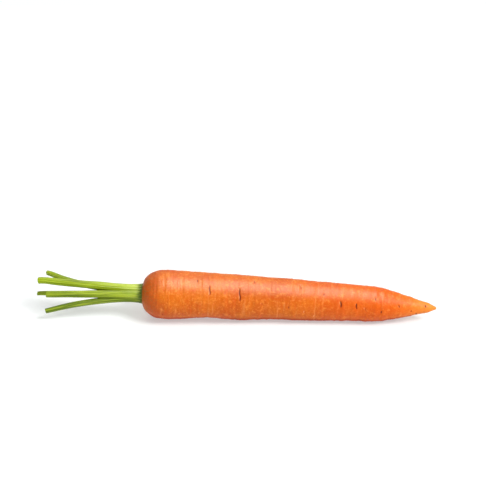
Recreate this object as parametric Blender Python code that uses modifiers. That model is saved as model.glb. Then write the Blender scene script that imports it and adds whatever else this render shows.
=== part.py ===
"""A fresh carrot with its leaf stalks cut short, lying on its side.

Metres. +X runs from the crown to the tip and +Z is up. The origin is on the surface that the carrot
lies on, under the middle of its bounding box.

The root is a turned body: a round shoulder, a long even taper and a blunt tail. It leans by its own
taper, so that its underside is level, and it bows a little sideways. A narrow flat along the underside
is what it lies on. The leaf stalks stand in a ring in the dip at the crown, and each one is a bent,
tapering tube with a cut end.
"""

import math

import bmesh
import bpy
from mathutils import Matrix, Vector

# Root, from the crown's rim to the tip
ROOT_LENGTH = 0.188
SHOULDER_DIAMETER = 0.032
SHOULDER_LENGTH = 0.018  # from the crown's rim to the widest place
TAIL_DIAMETER = 0.0226  # where the tail starts to close in on top of the even taper
TAIL_LENGTH = 0.041  # from there to the tip
TIP_DIAMETER = 0.0014
TAIL_ROUNDNESS = 1.45  # a higher power keeps the tail full for longer
TAIL_BLUNTNESS = 0.95  # a lower power closes it more bluntly at the tip
SIDE_BOW = 0.0024  # how far the middle of the root lies towards +Y
REST_WIDTH = 0.006  # of the flat that it lies on, where the root is thickest

# Dip in the crown that the stalks stand in
DIP_DEPTH = 0.0016
DIP_WALL = 0.0009  # width of the dip's sloping side

# Leaf stalks
STALK_COUNT = 5
STALK_BASE_DIAMETER = 0.0035
FIT_GAP = 0.0003  # between a stalk and the root, and between neighbouring stalks

# Fineness of the faceted surfaces
ROOT_SIDES = 32
SHOULDER_RINGS = 9
TAPER_RINGS = 22
TAIL_RINGS = 14
STALK_STEPS = 14
STALK_BEVEL_RESOLUTION = 3

ROOT_ORANGE = (0.83, 0.22, 0.03, 1.0)
STALK_GREEN = (0.27, 0.40, 0.02, 1.0)

# Each stalk: its name, how far it reaches out square to the crown, the diameter at its cut end, how far it
# bends that end away (sideways, up), and the share of its reach that its foot's direction governs: a
# larger share keeps the bend near the cut end.
STALKS = (
    ("leaf_stalk_top", 0.0672, 0.0035, (0.0049, 0.0018), 0.35),
    ("leaf_stalk_front", 0.0617, 0.0036, (0.0011, -0.0022), 0.40),
    ("leaf_stalk_low", 0.0617, 0.0030, (-0.0034, -0.0088), 0.45),
    ("leaf_stalk_back", 0.0690, 0.0021, (0.0070, -0.0044), 0.40),
    ("leaf_stalk_high", 0.0630, 0.0028, (0.0128, 0.0046), 0.60),
)
FIRST_STALK_ANGLE = math.radians(85)  # round the crown, from +Y towards +Z


def clear_scene():
    for obj in list(bpy.data.objects):
        bpy.data.objects.remove(obj, do_unlink=True)


def make_collection(name):
    collection = bpy.data.collections.new(name)
    bpy.context.scene.collection.children.link(collection)
    return collection


def make_material(name, colour, roughness):
    material = bpy.data.materials.new(name)
    material.use_nodes = True
    shader = material.node_tree.nodes["Principled BSDF"]
    shader.inputs["Base Color"].default_value = colour
    shader.inputs["Roughness"].default_value = roughness
    shader.inputs["Metallic"].default_value = 0.0
    return material


def tail_start():
    return ROOT_LENGTH - TAIL_LENGTH


def slope():
    """How much the radius falls for each metre along the even taper."""
    return (SHOULDER_DIAMETER - TAIL_DIAMETER) / 2 / (tail_start() - SHOULDER_LENGTH)


def lean():
    """The angle that lays the even taper's lowest line level."""
    return math.atan(slope())


def ring_radius():
    """How far the stalks stand from the crown's middle, so that neighbours just clear each other."""
    return (STALK_BASE_DIAMETER + FIT_GAP) / 2 / math.sin(math.pi / STALK_COUNT)


def dip_radius():
    """The dip's floor reaches just past the ring of stalks."""
    return ring_radius() + STALK_BASE_DIAMETER / 2 + FIT_GAP


def root_outline():
    """(along, radius) from the dip's middle out over the rim and shoulder, and along to the tip."""
    rim, shoulder, tip = dip_radius() + DIP_WALL, SHOULDER_DIAMETER / 2, TIP_DIAMETER / 2
    points = [(DIP_DEPTH, 0.0), (DIP_DEPTH, dip_radius())]
    for i in range(SHOULDER_RINGS):  # a quarter of an ellipse, from the rim to the widest place
        angle = math.pi / 2 * i / SHOULDER_RINGS
        points.append(
            (SHOULDER_LENGTH * (1 - math.cos(angle)), rim + (shoulder - rim) * math.sin(angle))
        )
    for i in range(TAPER_RINGS):
        along = SHOULDER_LENGTH + (tail_start() - SHOULDER_LENGTH) * i / TAPER_RINGS
        points.append((along, shoulder - slope() * (along - SHOULDER_LENGTH)))
    for i in range(TAIL_RINGS + 1):  # rings crowd towards the tip, where the outline turns fastest
        share = math.sin(math.pi / 2 * i / TAIL_RINGS)
        along = tail_start() + TAIL_LENGTH * share
        even = shoulder - slope() * (along - SHOULDER_LENGTH)
        points.append((along, tip + (even - tip) * (1 - share**TAIL_ROUNDNESS) ** TAIL_BLUNTNESS))
    points.append((ROOT_LENGTH, 0.0))
    return points


def bow_handle():
    """From an end of the bow guide to its handle. The middle lies three quarters of the way out to it."""
    return Vector((ROOT_LENGTH / 3, SIDE_BOW / 0.75, 0.0))


def crown_turn():
    """Turns a direction in the straight root's frame to the leaning and bowed root's crown."""
    handle = bow_handle()
    return Matrix.Rotation(lean(), 4, "Y") @ Matrix.Rotation(math.atan2(handle.y, handle.x), 4, "Z")


def make_bow_guide(collection):
    """The line that the root's axis follows: both ends on the X axis, and the middle SIDE_BOW beside it."""
    curve = bpy.data.curves.new("bow_guide", "CURVE")
    curve.dimensions = "3D"
    curve.resolution_u = 32
    spline = curve.splines.new("BEZIER")
    spline.bezier_points.add(1)
    crown, tip = spline.bezier_points
    tip.co.x = ROOT_LENGTH
    crown.handle_right = bow_handle()
    crown.handle_left = -bow_handle()
    tip.handle_left = tip.co + bow_handle() * Vector((-1, 1, 0))
    tip.handle_right = tip.co + bow_handle() * Vector((1, -1, 0))
    guide = bpy.data.objects.new("bow_guide", curve)
    guide.hide_render = True
    guide.display_type = "WIRE"
    collection.objects.link(guide)
    return guide


def make_underside_cutter(collection):
    """A block whose top face shaves the root's lowest line to a level flat."""
    shoulder = SHOULDER_DIAMETER / 2
    shaved = shoulder - math.sqrt(shoulder**2 - (REST_WIDTH / 2) ** 2)
    lowest = -math.cos(lean()) * shoulder - math.sin(lean()) * SHOULDER_LENGTH
    size = Vector((2 * ROOT_LENGTH, 2 * SHOULDER_DIAMETER, SHOULDER_DIAMETER))
    mesh = bpy.data.meshes.new("underside_cutter")
    bm = bmesh.new()
    bmesh.ops.create_cube(bm, size=1.0, matrix=Matrix.Diagonal(size).to_4x4())
    bm.to_mesh(mesh)
    bm.free()
    cutter = bpy.data.objects.new("underside_cutter", mesh)
    cutter.location = (ROOT_LENGTH / 2, 0.0, lowest + shaved - size.z / 2)
    cutter.hide_render = True
    cutter.display_type = "WIRE"
    collection.objects.link(cutter)
    return cutter


def make_root(collection, guides, material):
    outline = root_outline()
    mesh = bpy.data.meshes.new("root")
    mesh.from_pydata([(x, 0.0, r) for x, r in outline], [(i, i + 1) for i in range(len(outline) - 1)], [])
    mesh.materials.append(material)
    root = bpy.data.objects.new("root", mesh)
    collection.objects.link(root)

    turn = root.modifiers.new("turn", "SCREW")
    turn.axis = "X"
    turn.steps = turn.render_steps = ROOT_SIDES
    turn.use_merge_vertices = True
    turn.merge_threshold = 0.00001
    turn.use_normal_calculate = True
    turn.use_smooth_shade = True

    guide = make_bow_guide(guides)
    bow = root.modifiers.new("bow", "CURVE")
    bow.object = guide
    bow.deform_axis = "POS_X"

    cutter = make_underside_cutter(guides)
    underside = root.modifiers.new("underside", "BOOLEAN")
    underside.object = cutter
    underside.operation = "DIFFERENCE"

    for obj in (root, guide):
        obj.rotation_euler = (0.0, lean(), 0.0)
    return root, [guide, cutter]


def make_stalk(collection, material, place, name, reach, end_diameter, bent, foot_share):
    """One stalk. It leaves the crown square to it, then bends towards its cut end."""
    angle = FIRST_STALK_ANGLE + 2 * math.pi * place / STALK_COUNT
    across, up = ring_radius() * math.cos(angle), ring_radius() * math.sin(angle)
    straight_foot = Vector((DIP_DEPTH - FIT_GAP, across, up))
    foot = crown_turn() @ straight_foot
    end = crown_turn() @ (straight_foot + Vector((-reach, *bent)))

    curve = bpy.data.curves.new(name, "CURVE")
    curve.dimensions = "3D"
    curve.resolution_u = STALK_STEPS
    curve.bevel_depth = STALK_BASE_DIAMETER / 2
    curve.bevel_resolution = STALK_BEVEL_RESOLUTION
    curve.use_fill_caps = True
    curve.materials.append(material)
    spline = curve.splines.new("BEZIER")
    spline.bezier_points.add(1)
    base, cut = spline.bezier_points
    straight_out = crown_turn() @ Vector((-reach * foot_share, 0.0, 0.0))
    bent_out = (end - (foot + straight_out)) / 3
    for point, co, outwards in ((base, foot, straight_out), (cut, end, bent_out)):
        point.co = co
        point.handle_left = co - outwards
        point.handle_right = co + outwards
    base.radius = 1.0
    cut.radius = end_diameter / STALK_BASE_DIAMETER

    stalk = bpy.data.objects.new(name, curve)
    collection.objects.link(stalk)
    return stalk


def settle(parent, objects):
    """Moves the carrot so that its footprint's middle is at the origin and its underside at z = 0."""
    bpy.context.view_layer.update()
    graph = bpy.context.evaluated_depsgraph_get()
    corners = []
    for obj in objects:
        evaluated = obj.evaluated_get(graph)
        mesh = evaluated.to_mesh()
        corners += [evaluated.matrix_world @ v.co for v in mesh.vertices]
        evaluated.to_mesh_clear()
    low = Vector([min(c[k] for c in corners) for k in range(3)])
    high = Vector([max(c[k] for c in corners) for k in range(3)])
    parent.location = (-(low.x + high.x) / 2, -(low.y + high.y) / 2, -low.z)


def main():
    clear_scene()
    carrot = make_collection("carrot")
    guides = make_collection("guides")
    whole = bpy.data.objects.new("whole", None)
    carrot.objects.link(whole)

    root, helpers = make_root(carrot, guides, make_material("carrot_skin", ROOT_ORANGE, 0.5))
    green = make_material("stalk_green", STALK_GREEN, 0.45)
    stalks = [make_stalk(carrot, green, place, *stalk) for place, stalk in enumerate(STALKS)]
    for obj in (root, *helpers, *stalks):
        obj.parent = whole
    settle(whole, [root, *stalks])


main()
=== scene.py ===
# %% [markdown]
# # A fresh carrot with its leaf stalks cut short
#
# This lesson dresses a plain engineering model of a carrot. The plain model settles where the root and the
# five leaf stalks are, and how big they are. Here each of them is modelled again with Blender's own tools,
# with the lumps, creases, slits and ribs that a real carrot has, and then given a skin made of shader nodes.

# %% Load the plain model as a fixed frame
import math

import bmesh
import bpy
import numpy as np
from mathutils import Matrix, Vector


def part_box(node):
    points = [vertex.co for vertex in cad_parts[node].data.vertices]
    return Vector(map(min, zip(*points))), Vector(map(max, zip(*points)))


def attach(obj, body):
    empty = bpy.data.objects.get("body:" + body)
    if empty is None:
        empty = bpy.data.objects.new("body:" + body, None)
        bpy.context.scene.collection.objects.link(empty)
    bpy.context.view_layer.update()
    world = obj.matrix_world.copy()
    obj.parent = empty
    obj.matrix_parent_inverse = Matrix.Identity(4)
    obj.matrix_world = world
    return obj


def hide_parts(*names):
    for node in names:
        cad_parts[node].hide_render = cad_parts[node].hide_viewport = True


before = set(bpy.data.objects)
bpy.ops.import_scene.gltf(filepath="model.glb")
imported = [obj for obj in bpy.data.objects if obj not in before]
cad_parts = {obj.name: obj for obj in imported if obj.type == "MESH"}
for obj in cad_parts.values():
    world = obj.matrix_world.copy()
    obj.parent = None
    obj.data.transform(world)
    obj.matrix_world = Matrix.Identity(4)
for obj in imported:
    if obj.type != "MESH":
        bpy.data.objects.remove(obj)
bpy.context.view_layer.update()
MM = 0.001  # lengths are in metres
scene = bpy.context.scene
print("nodes:", sorted(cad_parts))

# %% [markdown]
# ## Camera
#
# A carrot that lies on a table is seen from a little above. A long lens from three quarters of a metre
# keeps the root's taper honest, where a wide lens would swell the near end. The camera aims above the
# carrot, which leaves the carrot low in the picture with clear space over it.

# %% Aim the camera
CAMERA_AIM = Vector((0.0050, 0.0, 0.0540))
CAMERA_DISTANCE = 0.7163
CAMERA_AZIMUTH = math.radians(2.2)  # towards the tip's side
CAMERA_ELEVATION = math.radians(28)
LENS_MM = 85
FURTHEST_SEEN = 100.0

backwards = Vector((
    math.sin(CAMERA_AZIMUTH) * math.cos(CAMERA_ELEVATION),
    -math.cos(CAMERA_AZIMUTH) * math.cos(CAMERA_ELEVATION),
    math.sin(CAMERA_ELEVATION),
))
bpy.ops.object.select_all(action="DESELECT")
bpy.ops.object.camera_add(location=CAMERA_AIM + backwards * CAMERA_DISTANCE)
camera = bpy.context.object
camera.rotation_euler = (-backwards).to_track_quat("-Z", "Y").to_euler()
camera.data.lens = LENS_MM
camera.data.clip_end = FURTHEST_SEEN
scene.camera = camera
print("camera at, mm:", [round(c / MM) for c in camera.location])

# %% [markdown]
# ## Table and lamps
#
# Food on white is lit softly, so that its shadow stays close and pale, and the white table throws light
# back up under it. The main lamp stands to the right, above and a little in front, and its shadow falls
# under the leaf stalks. It is a sun lamp with a wide angle, because a sun lights the whole table alike and
# keeps it white right out to the horizon. A strip lamp overhead shows in reflections only, and makes the
# broad sheen along the top. Two weak soft boxes, one overhead and one behind, fill what is left.

# %% Lay the white table and set the lamps
TABLE_HALF_SIZE = 20.0
TABLE_DROP = 0.00005  # the table lies this far below the carrot's flat, so that the two faces don't flicker

bpy.ops.mesh.primitive_plane_add(size=2 * TABLE_HALF_SIZE, location=(0.0, 0.0, -TABLE_DROP))
table = bpy.context.object
table.name = "white_table"

LAMP_DISTANCE = 0.6


def add_lamp(kind, name, towards, energy, **settings):
    """A lamp that shines along a direction towards the origin."""
    direction = Vector(towards).normalized()
    bpy.ops.object.light_add(type=kind, location=direction * -LAMP_DISTANCE)
    lamp = bpy.context.object
    lamp.name = name
    lamp.rotation_euler = direction.to_track_quat("-Z", "Y").to_euler()
    lamp.data.energy = energy
    for key, value in settings.items():
        setattr(lamp.data, key, value)
    return lamp


add_lamp("SUN", "key_sun", (-0.64, 0.33, -0.70), 3.45, angle=math.radians(24))
sheen = add_lamp("AREA", "sheen_strip", (-0.10, 0.02, -1.0), 18.0, shape="RECTANGLE", size=0.55, size_y=0.30)
sheen.data.color = (1.0, 0.92, 0.74)
sheen.visible_diffuse = False
add_lamp("AREA", "overhead_softbox", (-0.10, 0.25, -1.0), 1.0, shape="RECTANGLE", size=0.60, size_y=0.40)
add_lamp("AREA", "back_softbox", (0.15, -0.72, -0.62), 0.9, shape="RECTANGLE", size=0.60, size_y=0.30)
scene.view_settings.view_transform = "Standard"

# %% [markdown]
# ## Measuring the plain model
#
# Every new piece takes its place and size from the plain model. Cutting a plain piece across, as with a
# cheese wire, gives a slice, and the slice's outline gives the middle and the radius there. The root's
# underside is shaved flat, so its radius is read from side to side, and its middle hangs one radius below
# the top.

# %% Slice a plain piece across


def slice_across(node, x):
    """The middle and the radius of a plain piece where the plane at x cuts it."""
    cut = bmesh.new()
    cut.from_mesh(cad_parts[node].data)
    everything = cut.verts[:] + cut.edges[:] + cut.faces[:]
    cut_edge = bmesh.ops.bisect_plane(cut, geom=everything, plane_co=(x, 0, 0), plane_no=(1, 0, 0))
    outline = [v.co.copy() for v in cut_edge["geom_cut"] if isinstance(v, bmesh.types.BMVert)]
    cut.free()
    left, right = min(p.y for p in outline), max(p.y for p in outline)
    radius = (right - left) / 2
    top = max(p.z for p in outline)
    return Vector((x, (left + right) / 2, top - radius)), radius


root_low, root_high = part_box("root")
ROOT_LENGTH = root_high.x - root_low.x
shoulder_radius = slice_across("root", root_low.x + ROOT_LENGTH / 10)[1]
print("root, mm:", round(ROOT_LENGTH / MM, 1), "long and", round(2 * shoulder_radius / MM, 1), "thick")

# %% [markdown]
# ## Working by operators
#
# The pieces are made with the same operators that the menus call. An operator acts on whatever is
# selected, so three small helpers keep the selection clean: one selects a single object, one picks
# vertices in edit mode by a rule, and one applies a modifier as soon as it is set.

# %% Helpers for selecting and applying


def select_only(obj):
    bpy.ops.object.select_all(action="DESELECT")
    obj.select_set(True)
    bpy.context.view_layer.objects.active = obj


def pick_vertices(obj, rule):
    """In edit mode, selects the vertices for which rule(position) is true."""
    mesh = bmesh.from_edit_mesh(obj.data)
    mesh.select_mode = {"VERT"}
    for vertex in mesh.verts:
        vertex.select = rule(vertex.co)
    mesh.select_flush_mode()
    bmesh.update_edit_mesh(obj.data)


def apply_modifier(obj, kind, **settings):
    select_only(obj)
    modifier = obj.modifiers.new(kind.lower(), kind)
    for key, value in settings.items():
        setattr(modifier, key, value)
    bpy.ops.object.modifier_apply(modifier=modifier.name)


print("vertices of the plain root:", len(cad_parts["root"].data.vertices))

# %% [markdown]
# ## The root, straight and smooth
#
# A carrot's root is a long cone with a round shoulder at the crown, where the leaves were, and a blunt
# tail. It could be a turned profile, but extruding a ring station by station is how one follows a real
# root by eye: each push sets the next ring, and each resize sets its thickness. The root is modelled
# straight along X first, because creases that run round it are easy to place on a straight root, and it
# is bent into place at the end. Rings crowd at the shoulder and at the tip, where the outline turns
# fastest. Subdivision smooths the cage and pulls it in a little, so the cage is made that much fatter. The
# real root is also fuller than the plain one in three places: its shoulder, its tail and close to its tip.

# %% Read the root's thickness along its length
RING_SIDES = 18
STATIONS = 80
CROWDING = 0.5  # 0 spaces the rings evenly, and 1 crowds them most at both ends
CAGE_SWELL = 1 / ((2 + math.cos(2 * math.pi / RING_SIDES)) / 3)
CROWN_SKIP = 2.5 * MM  # closer to the crown than this, a slice isn't a whole outline
RIM_RADIUS = 5.3 * MM
RIM_FULLNESS = 0.9  # the power of a quarter sine, where less is fuller
TIP_RADIUS = 0.95 * MM
TIP_SKIP = 0.4 * MM
# (fuller by this share, from the crown, spread)
FULLER_PLACES = (
    (0.040, 8 * MM, 4.5 * MM),
    (0.045, 172 * MM, 14 * MM),
    (0.200, ROOT_LENGTH - 5 * MM, 4 * MM),
)

stations = []
for i in range(STATIONS + 1):
    share = i / STATIONS
    eased = share - CROWDING * math.sin(2 * math.pi * share) / (2 * math.pi)
    stations.append(ROOT_LENGTH * eased)


def root_radius(along):
    """The plain root's radius, made fuller, with a rounder rim at the crown and a blunt tip."""
    if along < CROWN_SKIP:
        outer = slice_across("root", root_low.x + CROWN_SKIP)[1]
        rise = math.sin(math.pi / 2 * along / CROWN_SKIP) ** RIM_FULLNESS
        return RIM_RADIUS + (outer - RIM_RADIUS) * rise
    if along > ROOT_LENGTH - TIP_SKIP:
        return TIP_RADIUS
    fuller = 1.0
    for share, middle, spread in FULLER_PLACES:
        fuller += share * math.exp(-(((along - middle) / spread) ** 2))
    return slice_across("root", root_low.x + along)[1] * fuller


print("stations:", len(stations), "first steps, mm:", [round(s / MM, 2) for s in stations[:5]])

# %% Push the rings out along X


def start_ring(name, sides, radius):
    """A ring square to X at the origin, with all of it selected in edit mode."""
    bpy.ops.object.select_all(action="DESELECT")
    bpy.ops.mesh.primitive_circle_add(
        vertices=sides, radius=radius, location=(0, 0, 0), rotation=(0, math.pi / 2, 0)
    )
    ring = bpy.context.object
    ring.name = name
    bpy.ops.object.transform_apply(location=True, rotation=True, scale=True)
    bpy.ops.object.mode_set(mode="EDIT")
    bpy.ops.mesh.select_all(action="SELECT")
    return ring


def push_ring(step, across, up=None):
    """Extrudes the selected ring along X and resizes it about its own middle, in Y and in Z."""
    bpy.ops.mesh.extrude_region_move(TRANSFORM_OT_translate={"value": (step, 0, 0)})
    bpy.ops.transform.resize(value=(1, across, up or across), center_override=(0, 0, 0))


def close_ring(step=0.0):
    """Extrudes the selected ring along X and gathers it into one point."""
    bpy.ops.mesh.extrude_region_move(TRANSFORM_OT_translate={"value": (step, 0, 0)})
    bpy.ops.mesh.merge(type="CENTER")


TIP_POINT = 0.25 * MM  # the very tip stands this far beyond the last ring

radii = [root_radius(s) * CAGE_SWELL for s in stations]
root = start_ring("carrot_root", RING_SIDES, radii[0])
for before, after, here, there in zip(stations, stations[1:], radii, radii[1:]):
    push_ring(after - before, there / here)
close_ring(TIP_POINT)
print("cage rings:", len(stations))

# %% [markdown]
# The crown is closed next. The leaf stalks grow out of a shallow dip, so the first ring is extruded twice
# more, inwards and then down, and the last one is merged to a point in the middle of the dip's floor.

# %% Close the crown with its dip
DIP_DEPTH = 1.6 * MM
DIP_TAPER = 0.85
DIP_HOLLOW = 0.1 * MM
RIM_WIDTH = 0.9 * MM
RIM_ROLL = 0.25 * MM
AT_THE_START = 1e-6  # nearer to x = 0 than this, a vertex is in the first ring


def finish_cage():
    """Turns every face outwards and leaves edit mode."""
    bpy.ops.mesh.select_all(action="SELECT")
    bpy.ops.mesh.normals_make_consistent(inside=False)
    bpy.ops.object.mode_set(mode="OBJECT")


pick_vertices(root, lambda p: p.x < AT_THE_START)
push_ring(RIM_ROLL, (RIM_RADIUS - RIM_WIDTH) / RIM_RADIUS)
push_ring(DIP_DEPTH, DIP_TAPER)
close_ring(DIP_HOLLOW)
finish_cage()
apply_modifier(root, "SUBSURF", levels=3, render_levels=3)
print("root after smoothing:", len(root.data.polygons), "faces")

# %% [markdown]
# ## Lumps and creases
#
# No root is round. It swells where the soil gave way, and its skin has shallow creases that run part of
# the way round, left by growth in spurts. A Displace modifier moves the surface along its normals by a
# noise texture. For creases the noise is read through a stretched empty: it then changes quickly along the
# root and slowly round it, so the bumps become short bands. The real surface is moved, and not only its
# shading, so the outline has them too. A vertex group says how much of it each vertex takes. Each vertex
# also keeps its place on the straight root, so that patterns made later will follow the bend.

# %% Read and keep numbers on a mesh


def positions(obj):
    flat = np.empty(len(obj.data.vertices) * 3)
    obj.data.vertices.foreach_get("co", flat)
    return flat.reshape(-1, 3)


def store(obj, name, values, kind="FLOAT"):
    """Keeps a value for each vertex on the mesh, where a material can read it."""
    attribute = obj.data.attributes.new(name, kind, "POINT")
    key = "vector" if kind == "FLOAT_VECTOR" else "value"
    attribute.data.foreach_set(key, np.asarray(values, np.float32).ravel())


def smoothstep(low, high, value):
    share = np.clip((value - low) / (high - low), 0, 1)
    return share * share * (3 - 2 * share)


def weigh(obj, name, weights):
    """Keeps a weight for each vertex as a vertex group, where a modifier can read it."""
    group = obj.vertex_groups.new(name=name)
    for index in np.flatnonzero(weights):
        group.add([int(index)], float(weights[index]), "REPLACE")


straight = positions(root)
store(root, "straight", straight, "FLOAT_VECTOR")
along = straight[:, 0]
around = np.arctan2(straight[:, 2], straight[:, 1])  # 0 at +Y, a quarter turn at +Z
print("smooth root, mm:", (straight.min(0) / MM).round(1), "to", (straight.max(0) / MM).round(1))

# %% Ways to move the surface


def wrinkle(obj, noise_size, stretch, depth, contrast=1.0, shift=(0.0, 0.0, 0.0), group=""):
    """Displaces by cloud noise, whose grain is noise_size along X and stretch times that across.

    The shift picks another stretch of the noise.
    """
    texture = bpy.data.textures.new("wrinkle", "CLOUDS")
    texture.noise_scale = noise_size
    texture.noise_depth = 2
    texture.contrast = contrast
    bpy.ops.object.empty_add(location=shift)
    ruler = bpy.context.object
    ruler.scale = (1, stretch, stretch)
    bpy.context.view_layer.update()
    apply_modifier(
        obj, "DISPLACE", texture=texture, texture_coords="OBJECT", texture_coords_object=ruler,
        strength=depth, mid_level=0.5, vertex_group=group,
    )
    bpy.data.objects.remove(ruler)
    bpy.data.textures.remove(texture)


LEAST_WEIGHT = 0.01


def press_in(obj, weights, depth):
    """Presses the surface in along its normals, by depth where the weight is 1."""
    weigh(obj, "press", np.where(weights > LEAST_WEIGHT, weights, 0))
    apply_modifier(obj, "DISPLACE", strength=-depth, mid_level=0.0, vertex_group="press")
    obj.vertex_groups.remove(obj.vertex_groups["press"])


def turn_from(degrees):
    """Each vertex's turn round the root from a line this far above the near side's middle."""
    turn = around - (math.pi - math.radians(degrees))
    return (turn + math.pi) % (2 * math.pi) - math.pi


print("vertices in the upper half:", int((turn_from(0) < 0).sum()), "of", len(around))

# %% Swell and crease the surface
from_crown_to_body = smoothstep(1.5 * MM, 12 * MM, along)
from_tip_to_body = 1 - smoothstep(ROOT_LENGTH - 6 * MM, ROOT_LENGTH, along)
weigh(root, "body", from_crown_to_body * from_tip_to_body)

# (mm from the crown, degrees above the near side's middle, mm long, radians wide, mm deep or, below 0, high)
HOLLOWS = ((40, -70, 11, 0.75, 1.35), (63, -70, 6, 0.60, -0.45))
for place, degrees, long_mm, wide, deep in HOLLOWS:
    turn = turn_from(degrees)
    press_in(root, np.exp(-(((along / MM - place) / long_mm) ** 2) - (turn / wide) ** 2), deep * MM)
wrinkle(root, 22 * MM, stretch=1.4, depth=1.1 * MM, group="body")
wrinkle(root, 3.6 * MM, stretch=9.0, depth=0.46 * MM, contrast=1.4, shift=(0.31, 0.02, 0.05), group="body")
wrinkle(root, 1.6 * MM, stretch=5.0, depth=0.14 * MM, shift=(0.11, 0.07, 0.02), group="body")

from_dip_to_crown = smoothstep(0.2 * MM, 2.0 * MM, along)
from_body_to_crown = 1 - smoothstep(9 * MM, 18 * MM, along)
weigh(root, "crown", from_dip_to_crown * from_body_to_crown)
wrinkle(root, 4.5 * MM, stretch=1.0, depth=0.50 * MM, shift=(0.05, 0.09, 0.01), group="crown")
wrinkle(root, 1.4 * MM, stretch=2.5, depth=0.16 * MM, shift=(0.02, 0.01, 0.08), group="crown")
print("lumps, mm:", round(float(np.abs(positions(root) - straight).max()) / MM, 2), "at most")

# %% [markdown]
# ## Slits and scars
#
# Fine side roots grew out of the carrot in a few lengthwise rows. Where they broke off they left short
# slits across the root, each a dark line with a paler lip. Each mark below has its distance from the
# crown, its place round the root, its length round the skin, how deep it is cut, how brown it is, how pale
# its lip is and how far it slants. The ones on the near side are listed one by one, and seeded random ones
# fill the far sides.

# %% List the slits
# (mm from the crown, degrees above the near side's middle, mm long, depth, brown, pale lip, slant)
NEAR_MARKS = (
    (13.8, -22, 1.1, 0.4, 0.7, 0.1, 0.00),
    (35.6, 67, 2.8, 0.6, 0.8, 0.5, 0.30),
    (43.5, 44, 7.6, 0.9, 0.8, 1.0, 0.10),
    (53.4, 40, 2.2, 0.4, 0.4, 0.7, 0.00),
    (62.7, 36, 9.6, 1.0, 1.0, 1.0, 0.12),
    (71.5, 75, 3.0, 0.6, 0.6, 0.5, 0.10),
    (76.9, 14, 2.2, 0.5, 0.5, 0.9, 0.40),
    (88.0, 56, 2.4, 0.5, 0.5, 0.6, -0.10),
    (94.0, 7, 1.8, 0.6, 0.8, 0.4, 0.00),
    (101.0, 68, 4.2, 0.8, 0.7, 0.6, 0.10),
    (104.6, -5, 2.8, 0.3, 0.1, 1.0, 0.15),
    (111.0, -21, 2.8, 0.3, 0.1, 1.0, -0.10),
    (116.0, 50, 2.2, 0.6, 0.6, 0.5, 0.20),
    (127.0, 24, 4.8, 1.0, 1.0, 0.9, 0.10),
    (137.0, 20, 4.4, 1.0, 1.0, 0.9, 0.08),
    (143.0, 10, 3.8, 0.5, 0.5, 1.0, 0.45),
    (149.0, 47, 2.6, 0.7, 0.7, 0.5, 0.10),
    (152.8, 4, 2.2, 0.8, 0.9, 0.4, 0.00),
    (164.0, 28, 1.8, 0.6, 0.7, 0.6, 0.20),
    (172.0, 2, 1.4, 0.6, 0.7, 0.4, 0.00),
    (175.7, -35, 1.6, 0.8, 0.9, 0.1, 0.00),
    (181.2, 43, 1.8, 0.7, 0.9, 0.4, 0.00),
)
SIDE_ROOT_ROWS = (120, 205, 292)  # degrees round, away from the near side
MARKS_PER_ROW = 9
FIRST_MARK, LAST_MARK = 24, 178  # mm from the crown
SHRINKING = 0.0035  # each mm further from the crown takes this share off a mark's length

draw = np.random.default_rng(11)
marks = list(NEAR_MARKS)
for row in SIDE_ROOT_ROWS:
    for place in np.linspace(FIRST_MARK, LAST_MARK, MARKS_PER_ROW):
        long_mm = draw.uniform(1.2, 7.5) * (1 - SHRINKING * place)
        marks.append((
            place + draw.uniform(-6, 6), row + draw.uniform(-16, 16), long_mm, draw.uniform(0.3, 1.0),
            draw.uniform(0.2, 1.0), draw.uniform(0.2, 0.9), draw.uniform(-0.15, 0.2),
        ))
print("marks:", len(marks))

# %% [markdown]
# A mark's shape is a narrow, wavering line, full in the middle and fading to both ends, with a broken pale
# lip along its crown side. Its strength at each vertex goes into a vertex group, a Displace modifier presses
# the skin in by that group, and the same numbers stay on the mesh for the skin's colour to read. So does a
# number for the underside, where the root lies on the table: there the skin gets a painted contact shade,
# a darker red that stands in for the shade along the line of contact.

# %% Cut the slits into the skin
SLIT_DEPTH = 0.42 * MM
SLIT_HALF_WIDTH = 0.46 * MM
LIP_OFFSET = 0.66 * MM
LIP_HALF_WIDTH = 0.30 * MM
WAVER = 0.16 * MM
WAVER_RATE = 1.3 / MM
LIP_BREAK = 0.55  # the share of the lip's paleness that comes and goes
LIP_BREAK_RATE = 1.1 / MM
CONTACT_SHADE_MIDDLE = -82  # degrees above the near side's middle, so a little nearer than straight down
CONTACT_SHADE_FULL = math.radians(24)
CONTACT_SHADE_END = math.radians(66)

slit, brown, pale = (np.zeros(len(straight)) for _ in range(3))
for place, degrees, long_mm, depth, brownness, paleness, slant in marks:
    across = turn_from(degrees) * np.hypot(straight[:, 1], straight[:, 2])
    offset = along - place * MM - slant * across
    waver = WAVER * np.sin(across * WAVER_RATE + place)
    ends = np.clip(1 - (across / (long_mm * MM / 2)) ** 4, 0, 1)
    line = ends * np.exp(-(((offset - waver) / SLIT_HALF_WIDTH) ** 2))
    lip = ends * np.exp(-(((offset - waver + LIP_OFFSET) / LIP_HALF_WIDTH) ** 2))
    lip *= 1 - LIP_BREAK + LIP_BREAK * np.sin(across * LIP_BREAK_RATE + 2 * place)
    slit = np.maximum(slit, depth * line)
    brown = np.maximum(brown, brownness * line)
    pale = np.maximum(pale, paleness * lip)
press_in(root, slit, SLIT_DEPTH)
# the band along the underside where the skin gets its painted contact shade
contact_shade_band = 1 - smoothstep(CONTACT_SHADE_FULL, CONTACT_SHADE_END, np.abs(turn_from(CONTACT_SHADE_MIDDLE)))
store(root, "underside", contact_shade_band * smoothstep(1.5 * MM, 7 * MM, along))
store(root, "brown", brown)
store(root, "pale", pale)
print("vertices in slits:", int((slit > LEAST_WEIGHT).sum()))

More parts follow.
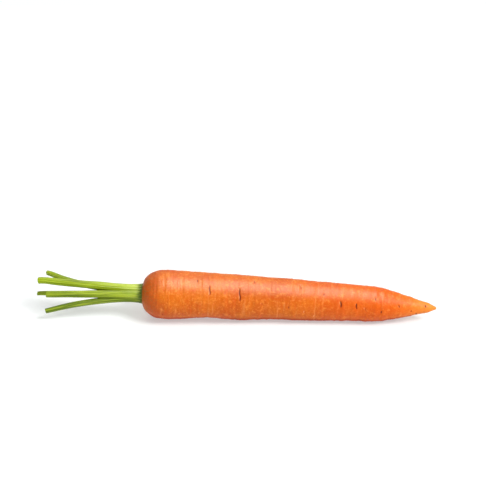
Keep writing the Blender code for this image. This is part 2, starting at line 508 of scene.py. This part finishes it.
# %% [markdown]
# ## Bending the root into place
#
# The straight root now takes the plain root's gentle bow. A curve runs through the middles of the plain
# root's slices, and a Curve modifier bends the mesh along it. The part that would sink into the table is
# pressed level, as the real root's own weight presses it on its narrow line of contact.

# %% Find the plain root's middle line
GUIDE_SHARES = np.linspace(0.08, 0.90, 7)  # of the root's length, clear of its rounded ends

middles = []
for share in GUIDE_SHARES:
    middles.append(slice_across("root", root_low.x + share * ROOT_LENGTH)[0])
print("middles sideways, mm:", [round(m.y / MM, 2) for m in middles])

# %% Bend the root along it


def guide_through(points):
    """A smooth curve object through the points."""
    bpy.ops.object.select_all(action="DESELECT")
    bpy.ops.curve.primitive_bezier_curve_add(location=(0, 0, 0))
    guide = bpy.context.object
    guide.data.dimensions = "3D"
    guide.data.twist_mode = "Z_UP"
    guide.data.resolution_u = 24
    spline = guide.data.splines[0]
    spline.bezier_points.add(len(points) - 2)
    for knot, point in zip(spline.bezier_points, points):
        knot.co = point
        knot.handle_left_type = knot.handle_right_type = "AUTO"
    return guide


def bend_along(obj, points):
    guide = guide_through(points)
    bpy.context.view_layer.update()
    apply_modifier(obj, "CURVE", object=guide, deform_axis="POS_X")
    bpy.data.objects.remove(guide)


def carry_on(near, far, x):
    """The point at x on the line through two others."""
    return near + (near - far) * ((x - near.x) / (near.x - far.x))


CROWN_SETBACK = 0.35 * MM  # the wrinkled rim stands about this far ahead of the first ring

crown_middle = carry_on(middles[0], middles[1], root_low.x + CROWN_SETBACK)
tip_middle = carry_on(middles[-1], middles[-2], root_high.x)
bend_along(root, [crown_middle, *middles, tip_middle])
print("lowest point before it is pressed level, mm:", round(float(positions(root)[:, 2].min()) / MM, 2))

# %% Press the underside level and shade the root smooth
select_only(root)
bpy.ops.object.mode_set(mode="EDIT")
pick_vertices(root, lambda p: p.z < 0)
bpy.ops.transform.resize(value=(1, 1, 0), center_override=(0, 0, 0))
bpy.ops.object.mode_set(mode="OBJECT")
bpy.ops.object.shade_smooth()
root.vertex_groups.clear()
root_now = positions(root)
print("root from, mm:", (root_now.min(0) / MM).round(1), "to", (root_now.max(0) / MM).round(1))

# %% [markdown]
# ## Writing materials as sums
#
# A material is a web of nodes, and most of them only add, multiply or blend numbers. Wrapping a socket in
# a small class lets Python's own +, - and * add those Math nodes, so a skin reads like a recipe.

# %% Give sockets arithmetic


class Signal:
    """One output in a material. Arithmetic on it adds Math nodes."""

    def __init__(self, recipe, socket):
        self.recipe, self.socket = recipe, socket

    def math(self, operation, *values):
        return self.recipe.node("ShaderNodeMath", {"operation": operation}, dict(enumerate(values)))

    def __add__(self, other):
        return self.math("ADD", self, other)

    def __rsub__(self, other):
        return self.math("SUBTRACT", other, self)

    def __mul__(self, other):
        return self.math("MULTIPLY", self, other)


print("made:", Signal.__doc__)

# %% Gather nodes in a recipe


class Recipe:
    """A material, or the sky, under construction."""

    def __init__(self, name, kind=bpy.data.materials, shader="Principled BSDF"):
        self.made = kind.new(name)
        self.made.use_nodes = True
        self.tree = self.made.node_tree
        self.shader = self.tree.nodes[shader]

    def feed(self, socket, value):
        if isinstance(value, Signal):
            self.tree.links.new(value.socket, socket)
        else:
            socket.default_value = value

    def node(self, kind, settings=None, inputs=None, output=0):
        """Adds any node: its settings first, then the values or links of its sockets."""
        made = self.tree.nodes.new(kind)
        for key, value in (settings or {}).items():
            setattr(made, key, value)
        for key, value in (inputs or {}).items():
            self.feed(made.inputs[key], value)
        return Signal(self, made.outputs[output])

    def attribute(self, name, output="Fac"):
        return self.node("ShaderNodeAttribute", {"attribute_name": name}, output=output)

    def stretch(self, vector, factors):
        return self.node("ShaderNodeVectorMath", {"operation": "MULTIPLY"}, {0: vector, 1: factors})

    def noise(self, vector, size, detail=2.0, roughness=0.5):
        """Noise from 0 to 1 whose blobs are about this size."""
        inputs = {"Vector": vector, "Scale": 1 / size, "Detail": detail, "Roughness": roughness}
        return self.node("ShaderNodeTexNoise", {}, inputs)

    def step(self, value, low, high):
        """0 below low and 1 above high, with a soft rise between them."""
        inputs = {"Value": value, "From Min": low, "From Max": high, "To Min": 0.0, "To Max": 1.0}
        return self.node("ShaderNodeMapRange", {"interpolation_type": "SMOOTHSTEP"}, inputs)

    def blend(self, amount, under, over):
        """Colour over on colour under, by the amount."""
        return self.node("ShaderNodeMix", {"data_type": "RGBA"}, {0: amount, 6: under, 7: over}, output=2)

    def bump(self, height, depth):
        return self.node("ShaderNodeBump", {}, {"Height": height, "Distance": depth, "Strength": 1.0})

    def finish(self, **sockets):
        """Sets the shader's sockets, whose names are written with _ for a space."""
        for key, value in sockets.items():
            self.feed(self.shader.inputs[key.replace("_", " ")], value)
        return self.made


print("made:", Recipe.__doc__)

# %% Give a colour as it looks on a screen


def rgb(*screen_values):
    """Turns red, green and blue from 0 to 255 into the linear values that shaders use."""
    linear = []
    for value in screen_values:
        c = value / 255
        linear.append(c / 12.92 if c <= 0.04045 else ((c + 0.055) / 1.055) ** 2.4)
    return (*linear, 1.0)


print("a middling orange in linear values:", [round(c, 3) for c in rgb(208, 104, 14)])

# %% [markdown]
# ## The root's skin
#
# Carrot skin is never one orange. It is mottled at three sizes: soft patches as wide as a thumb, flecks the
# size of a grain of rice, and specks like fine sand, with thin pale streaks round the root. The colour could
# be one noise through a ramp, but laying one thin coat over another, as a painter glazes, lets each mottle
# be tuned by itself. Noise is read on the straight root, so it follows the bend. Towards the tip the orange
# grows more vivid.

# %% Lay the mottled orange
skin = Recipe("carrot_skin")
on_root = skin.attribute("straight", "Vector")
from_crown = skin.node("ShaderNodeSeparateXYZ", {}, {0: on_root})
patches = skin.noise(on_root, 16 * MM, 2.0)
flecks = skin.noise(on_root, 3.0 * MM, 3.0, 0.6)
specks = skin.noise(on_root, 1.2 * MM, 4.0, 0.75)
streaks = skin.noise(skin.stretch(on_root, (1.0, 0.10, 0.10)), 2.1 * MM, 3.0, 0.6)
fibres = skin.noise(skin.stretch(on_root, (0.05, 1.0, 1.0)), 1.4 * MM, 2.0)

colour = skin.blend(skin.step(patches, 0.32, 0.68), rgb(194, 83, 5), rgb(208, 104, 14))
vivid_share = skin.step(from_crown, 85 * MM, 140 * MM)
colour = skin.blend(vivid_share * 0.65, colour, rgb(222, 90, 4))
colour = skin.blend(skin.step(flecks, 0.52, 0.74) * 0.45, colour, rgb(244, 150, 62))
colour = skin.blend(skin.step(flecks, 0.46, 0.26) * 0.50, colour, rgb(202, 76, 4))
pale_specks = skin.step(specks, 0.50, 0.80) * (0.70 - vivid_share * 0.20)
colour = skin.blend(pale_specks, colour, rgb(246, 160, 84))
colour = skin.blend(skin.step(specks, 0.50, 0.22) * 0.60, colour, rgb(190, 66, 8))
colour = skin.blend(skin.step(streaks, 0.58, 0.78) * 0.30, colour, rgb(255, 176, 104))
colour = skin.blend(skin.step(fibres, 0.60, 0.80) * 0.12, colour, rgb(255, 170, 90))
print("nodes for the mottle:", len(skin.tree.nodes))

# %% [markdown]
# The crown is browner and dusted with greenish grain, because it stood out of the soil; the browner end is
# also painted shade, darker where the crown turns from the light. Along the side that the root lay on,
# painted contact shade makes the skin a little redder and darker, and that side is made rougher and duller.
# The tail is a little yellower. The crown and the underside have ragged edges: noise is added to the
# distance, or to the stored number, before the step is taken.

# %% Tint the crown and the tail, and paint shade on the crown and along the underside
TAIL_LENGTH = 30 * MM

soil = skin.noise(on_root, 0.9 * MM, 3.0, 0.7)
ragged = from_crown + patches * (4 * MM) + specks * (3 * MM)
# the crown's browner end is partly its own colour and partly painted shade, where the end turns from the
# light
crown_tone_and_shade = skin.step(ragged, 17.5 * MM, 12.5 * MM)
colour = skin.blend(crown_tone_and_shade * 0.70, colour, rgb(196, 82, 18))
soil_share = skin.step(ragged, 19 * MM, 4 * MM)
colour = skin.blend(soil_share * skin.step(soil, 0.50, 0.62) * 0.70, colour, rgb(142, 108, 50))
# painted contact shade: a darker red along the underside stands in for the shade where the root lies
painted_contact_shade = skin.step(skin.attribute("underside") + specks * 0.4 + patches * 0.6, 0.60, 1.45)
colour = skin.blend(painted_contact_shade * 0.80, colour, rgb(156, 38, 2))
tail_share = skin.step(from_crown, ROOT_LENGTH - TAIL_LENGTH, ROOT_LENGTH)
colour = skin.blend(tail_share * 0.45, colour, rgb(255, 168, 70))
print("nodes so far:", len(skin.tree.nodes))

# %% [markdown]
# A slit is rusty at its torn edges and dark brown in its depth, and its lip is pale. Water in the flesh lets
# light sink in and come out warmer, which the subsurface value gives, and a thin wet sheen lies on top. The
# bump is only the finest grain, because every larger shape is in the mesh.

# %% Tint the slits and finish the skin
pale_lip = skin.attribute("pale") * (specks * 1.2 + 0.4)
brown_slit = skin.attribute("brown")
colour = skin.blend(skin.step(pale_lip, 0.15, 0.9) * 0.70, colour, rgb(252, 190, 126))
torn = brown_slit * (specks * 1.1 + streaks * 0.7 + 0.1)
colour = skin.blend(skin.step(torn, 0.04, 0.45) * 0.65, colour, rgb(196, 70, 8))
colour = skin.blend(skin.step(torn, 0.22, 0.80) * 0.92, colour, rgb(92, 34, 8))

grain = skin.noise(on_root, 0.4 * MM, 2.0, 0.6)
relief = specks * 0.35 + grain * 0.25 + streaks * 0.40
dullness = skin.step(specks, 0.2, 0.8) * 0.16 + painted_contact_shade * 0.30 + 0.36
root.data.materials.clear()
root.data.materials.append(skin.finish(
    Base_Color=colour, Roughness=dullness, Normal=skin.bump(relief, 0.28 * MM),
    Subsurface_Weight=0.15, Subsurface_Radius=(1.0, 0.30, 0.08), Subsurface_Scale=0.002,
    Specular_IOR_Level=0.17, Coat_Weight=0.045, Coat_Roughness=0.32, IOR=1.42,
))
print("skin nodes:", len(skin.tree.nodes))

# %% [markdown]
# ## One leaf stalk
#
# A carrot's leaf stalk is no round rod. It has fine ribs along its back, a shallow channel along the side
# that faces the middle of the bunch, and a base that widens into a sheath where it joins the crown. A
# bevelled curve would give a plain rod, so one straight stalk is modelled from a ring of many corners. Every
# fourth corner is pulled out for a rib, the one midway between two ribs is pushed in, the corners at +Y are
# sunk for the channel, and the ring is pushed along X. The stalk is one unit long and the copies are
# stretched to their lengths.

# %% Model the straight stalk
SIDES_PER_RIB = 4
STALK_SIDES = 10 * SIDES_PER_RIB
CORNER_TURN = 2 * math.pi / STALK_SIDES
RIB_HEIGHT = 0.055
CHANNEL_DEPTH = 0.30
CHANNEL_HALF_ANGLE = 0.55
CHANNEL_CORNERS = 9  # the one at +Y and eight on either side of it
UNIT_RADIUS = 1.0  # the copies are resized to the plain stalks' radii
# (share of the length, width, thickness), from the sheath at the base to the cut end
STALK_SECTIONS = (
    (0.000, 2.10, 1.95), (0.030, 1.92, 1.74), (0.070, 1.62, 1.40), (0.140, 1.48, 1.24), (0.230, 1.42, 1.22),
    (0.330, 1.38, 1.24), (0.450, 1.34, 1.24), (0.600, 1.28, 1.22), (0.780, 1.20, 1.16), (0.985, 1.12, 1.10),
    (1.000, 1.10, 1.08),
)
STALK_RINGS_BETWEEN = 5

master = start_ring("leaf_stalk_master", STALK_SIDES, UNIT_RADIUS)


def corner_of(p):
    """A corner's number round the ring, either way from 0 at +Y, where the channel will be."""
    return abs(round(math.atan2(p.z, p.y) / CORNER_TURN))


RIB_TOP, RIB_FOOT = 0, SIDES_PER_RIB // 2
for place_in_rib, size in ((RIB_TOP, 1 + RIB_HEIGHT), (RIB_FOOT, 1 - RIB_HEIGHT)):
    pick_vertices(master, lambda p: corner_of(p) % SIDES_PER_RIB == place_in_rib)
    bpy.ops.transform.resize(value=(1, size, size), center_override=(0, 0, 0))
for corner in reversed(range(CHANNEL_CORNERS)):  # the middle last, as a sunk corner takes a higher number
    depth = CHANNEL_DEPTH * math.exp(-((corner * CORNER_TURN / CHANNEL_HALF_ANGLE) ** 2))
    pick_vertices(master, lambda p: corner_of(p) == corner)
    bpy.ops.transform.resize(value=(1, 1 - depth, 1), center_override=(0, 0, 0))
print("ribs:", STALK_SIDES // SIDES_PER_RIB)

# %% Push the ring along, section by section


def stalk_section(share):
    shares, widths, heights = zip(*STALK_SECTIONS)
    return np.interp(share, shares, widths), np.interp(share, shares, heights)


ring_shares = []
for (low, *_), (high, *_) in zip(STALK_SECTIONS, STALK_SECTIONS[1:]):
    ring_shares += list(np.linspace(low, high, STALK_RINGS_BETWEEN, endpoint=False))
ring_shares.append(1.0)
wide, thick = stalk_section(0.0)
bpy.ops.mesh.select_all(action="SELECT")
bpy.ops.transform.resize(value=(1, thick, wide), center_override=(0, 0, 0))
for here, there in zip(ring_shares, ring_shares[1:]):
    new_wide, new_thick = stalk_section(there)
    push_ring(there - here, new_thick / thick, new_wide / wide)
    wide, thick = new_wide, new_thick
print("stalk rings:", len(ring_shares), "of", STALK_SIDES, "sides")

# %% [markdown]
# The far end is cut square across. Its rim is extruded inwards and then down, because the soft middle of a
# cut stalk dries and sinks first. The base is closed plainly: it ends up inside the crown.

# %% Cut the far end and close the base
CUT_INSETS = ((0.0006, 0.80), (-0.006, 0.75), (-0.004, 0.60))  # (step along X, resize)
for step, size in CUT_INSETS:
    push_ring(step, size)
close_ring()
pick_vertices(master, lambda p: p.x < AT_THE_START)
close_ring()
finish_cage()
print("master stalk:", len(master.data.vertices), "vertices")

# %% [markdown]
# ## Five stalks in place
#
# Each stalk is a copy of the master with its own mesh. It is turned so that its channel faces the middle of
# the bunch, resized to its plain stalk's thickness and length, given a faint waviness of its own, and bent
# along the middles of its plain stalk's slices. Its base reaches a little way into the crown's dip and
# swells there, so that neighbouring sheaths close up as they do on the plant. No two stalks are alike, so
# each has a lift and a thickness of its own. Each also has a painted lightness: painted shade darkens the
# stalks that lie in shade, the low one most, and the top one is left lightest.

# %% Turn and resize a copy of the master


def fit_copy(stalk, turn, length, radii):
    """Turns a straight stalk about X, resizes it ring by ring to the radii, and stretches it."""
    select_only(stalk)
    bpy.ops.object.mode_set(mode="EDIT")
    bpy.ops.mesh.select_all(action="SELECT")
    # run without a window, this operator turns the other way
    bpy.ops.transform.rotate(value=-turn, orient_axis="X", center_override=(0, 0, 0))
    # halfway between the rings, and well beyond the first and the last
    borders = [-1.0, *((a + b) / 2 for a, b in zip(ring_shares, ring_shares[1:])), 2.0]
    for start, share, end in zip(borders, ring_shares, borders[1:]):
        pick_vertices(stalk, lambda p: start < p.x <= end)
        radius = np.interp(share, np.linspace(0, 1, len(radii)), radii)
        bpy.ops.transform.resize(value=(1, radius, radius), center_override=(0, 0, 0))
    bpy.ops.mesh.select_all(action="SELECT")
    bpy.ops.transform.resize(value=(length, 1, 1), center_override=(0, 0, 0))
    bpy.ops.object.mode_set(mode="OBJECT")


print("rings to resize on each copy:", len(ring_shares))

# %% Read each plain stalk's path
STALK_NAMES = sorted(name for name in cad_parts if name.startswith("leaf_stalk"))
STALK_GUIDE_SHARES = np.linspace(0.03, 0.985, 6)  # of its reach, clear of its two cut faces
STALK_ROOTING = 1.0 * MM  # how far a base reaches into the crown beyond the plain stalk
STALK_EXTRA = 0.5 * MM  # a little is lost where the cut end is rounded


def plain_path(name):
    """The middles along a plain stalk, from inside the crown to the cut end, and its radii."""
    low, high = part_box(name)
    middles, radii = [], []
    for share in STALK_GUIDE_SHARES:
        middle, radius = slice_across(name, high.x - share * (high.x - low.x))
        middles.append(middle)
        radii.append(radius)
    base = carry_on(middles[0], middles[1], high.x + STALK_ROOTING)
    end = carry_on(middles[-1], middles[-2], low.x - STALK_EXTRA)
    return [base, *middles, end], radii


for name in STALK_NAMES:
    print(name, "radii, mm:", [round(radius / MM, 2) for radius in plain_path(name)[1]])

# %% Bend a copy along each plain stalk
CUT_FACE_START = 0.990  # share of the length
CUT_FACE_RADIUS = 0.84
SHARP_EDGE = math.radians(50)  # a sharper turn than this, as at the cut end's rim, is shaded as an edge
# (raised at its middle, raised at its cut end, thickness, painted lightness from shaded to lit)
STALK_LOOKS = {
    "leaf_stalk_back": (0.7 * MM, 0.2 * MM, 1.18, 0.50),
    "leaf_stalk_front": (-0.1 * MM, 0.0, 1.00, 0.42),
    "leaf_stalk_high": (0.0, -1.1 * MM, 1.05, 0.60),
    "leaf_stalk_low": (0.2 * MM, 0.2 * MM, 1.05, 0.00),
    "leaf_stalk_top": (0.8 * MM, -0.4 * MM, 1.12, 1.00),
}


def make_stalk(name, number):
    path, radii = plain_path(name)
    lift, end_lift, girth, painted_lightness = STALK_LOOKS[name]
    for step, knot in enumerate(path):
        share = step / (len(path) - 1)
        knot.z += lift * math.sin(math.pi * share) + end_lift * share**2
    length = sum((b - a).length for a, b in zip(path, path[1:]))

    stalk = master.copy()
    stalk.data = master.data.copy()
    stalk.name = "carrot_" + name
    bpy.context.collection.objects.link(stalk)
    spots = positions(stalk)
    on_cut_face = (spots[:, 0] > CUT_FACE_START) & (np.hypot(spots[:, 1], spots[:, 2]) < CUT_FACE_RADIUS)
    store(stalk, "straight", spots * (length, radii[0], radii[0]), "FLOAT_VECTOR")
    store(stalk, "cut", on_cut_face)
    # each stalk's painted lightness: painted shade, darker for a stalk that lies in shade
    store(stalk, "painted_lightness", np.full(len(spots), painted_lightness))

    inward = crown_middle - path[0]
    fit_copy(stalk, math.atan2(inward.z, -inward.y), length, [radius * girth for radius in radii])
    wrinkle(stalk, 12 * MM, stretch=0.6, depth=0.35 * MM, shift=(0.1 * number, 0.03, 0.02))
    apply_modifier(stalk, "SUBSURF", levels=1, render_levels=1)
    bend_along(stalk, path)
    select_only(stalk)
    bpy.ops.object.shade_smooth_by_angle(angle=SHARP_EDGE)
    return stalk


stalks = {name: make_stalk(name, number) for number, name in enumerate(STALK_NAMES)}
bpy.data.objects.remove(master)
for name, stalk in stalks.items():
    spots = positions(stalk)
    print(name, "from, mm:", (spots.min(0) / MM).round(1), "to", (spots.max(0) / MM).round(1))

# %% [markdown]
# ## The stalks' green
#
# A stalk is striped along its length: pale ribs of tough fibre, with deeper green between them. Noise that
# is stretched fifty times along the stalk makes such stripes, and follows the bend where a striped image
# would need unwrapping. The green is yellowish and a little see-through, and each stalk's painted lightness
# puts painted shade on the stalks that lie in shade. The sheath at the base is paler, partly its own paler
# green and partly a painted highlight that is stronger on the lit stalks, and painted shade darkens the
# green where it meets the crown. The cut end is pale and wet, with darker dots where the sap ran.

# %% Make the green
green = Recipe("leaf_stalk_green")
on_stalk = green.attribute("straight", "Vector")
from_base = green.node("ShaderNodeSeparateXYZ", {}, {0: on_stalk})
# the painted lightness darkens the stalks that lie in shade with painted shade
painted_lightness = green.attribute("painted_lightness")
drift_and_painted_light = green.noise(on_stalk, 11 * MM, 2.0) * 0.5 + painted_lightness * 0.6
stripes = green.noise(green.stretch(on_stalk, (0.02, 1.0, 1.0)), 0.6 * MM, 2.0, 0.6)
fine = green.noise(green.stretch(on_stalk, (0.15, 1.0, 1.0)), 0.3 * MM, 2.0)

# random drift of the green, plus painted shade on the stalks in shade
colour = green.blend(green.step(drift_and_painted_light, 0.15, 0.85), rgb(84, 106, 6), rgb(142, 162, 8))
colour = green.blend(green.step(stripes, 0.46, 0.66) * 0.55, colour, rgb(190, 206, 60))
colour = green.blend(green.step(stripes, 0.48, 0.30) * 0.75, colour, rgb(66, 88, 2))
# the sheath's paler green, partly its own colour and partly a painted highlight, stronger on lit stalks
pale_sheath_and_highlight = green.step(from_base, 18 * MM, 8 * MM)
colour = green.blend(pale_sheath_and_highlight * painted_lightness * 0.40, colour, rgb(190, 208, 96))
# painted shade: darker green where the stalks meet the crown, in place of the shade between them
painted_crown_shade = green.step(from_base + stripes * (9 * MM), 12.5 * MM, 7 * MM)
colour = green.blend(painted_crown_shade * 0.85, colour, rgb(66, 92, 8))
dots = green.node("ShaderNodeTexVoronoi", {}, {"Vector": on_stalk, "Scale": 1 / (0.9 * MM)})
cut_colour = green.blend(green.step(dots, 0.42, 0.20) * 0.6, rgb(205, 216, 140), rgb(120, 150, 50))
colour = green.blend(green.attribute("cut"), colour, cut_colour)
green_material = green.finish(
    Base_Color=colour, Roughness=green.step(fine, 0.2, 0.8) * 0.15 + 0.34,
    Normal=green.bump(stripes * 0.7 + fine * 0.3, 0.16 * MM),
    Subsurface_Weight=0.15, Subsurface_Radius=(0.5, 1.0, 0.15), Subsurface_Scale=0.0012,
    Specular_IOR_Level=0.20, Coat_Weight=0.14, Coat_Roughness=0.26, IOR=1.42,
)
for stalk in stalks.values():
    stalk.data.materials.clear()
    stalk.data.materials.append(green_material)
print("green nodes:", len(green.tree.nodes))

# %% [markdown]
# ## The white table and the sky
#
# The table is plain and white. It glows a little, as white paper under a lamp in a white room does, so that
# the shadow on it stays soft and pale. The sky is white to look at and much dimmer as a light, because a
# fully white sky would wash the shadow out.

# %% Make the white of the table and the sky
WHITE = (1.0, 1.0, 1.0, 1.0)
SKY_LIGHT = 0.30

white = Recipe("table_white")
table.data.materials.append(white.finish(
    Base_Color=(0.50, 0.52, 0.52, 1.0), Roughness=0.8, Specular_IOR_Level=0.1,
    Emission_Color=WHITE, Emission_Strength=0.44,
))
sky = Recipe("soft_sky", bpy.data.worlds, "Background")
seen = sky.node("ShaderNodeLightPath", output="Is Camera Ray")
scene.world = sky.finish(Color=WHITE, Strength=seen * (1 - SKY_LIGHT) + SKY_LIGHT)
print("sky nodes:", len(sky.tree.nodes))

# %% [markdown]
# ## Handing over
#
# Each new piece stands for a plain one, which is hidden, and rides on the carrot's only body.

# %% Attach the pieces and finish
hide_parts("root")
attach(root, "root")
for name, stalk in stalks.items():
    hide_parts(name)
    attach(stalk, "root")
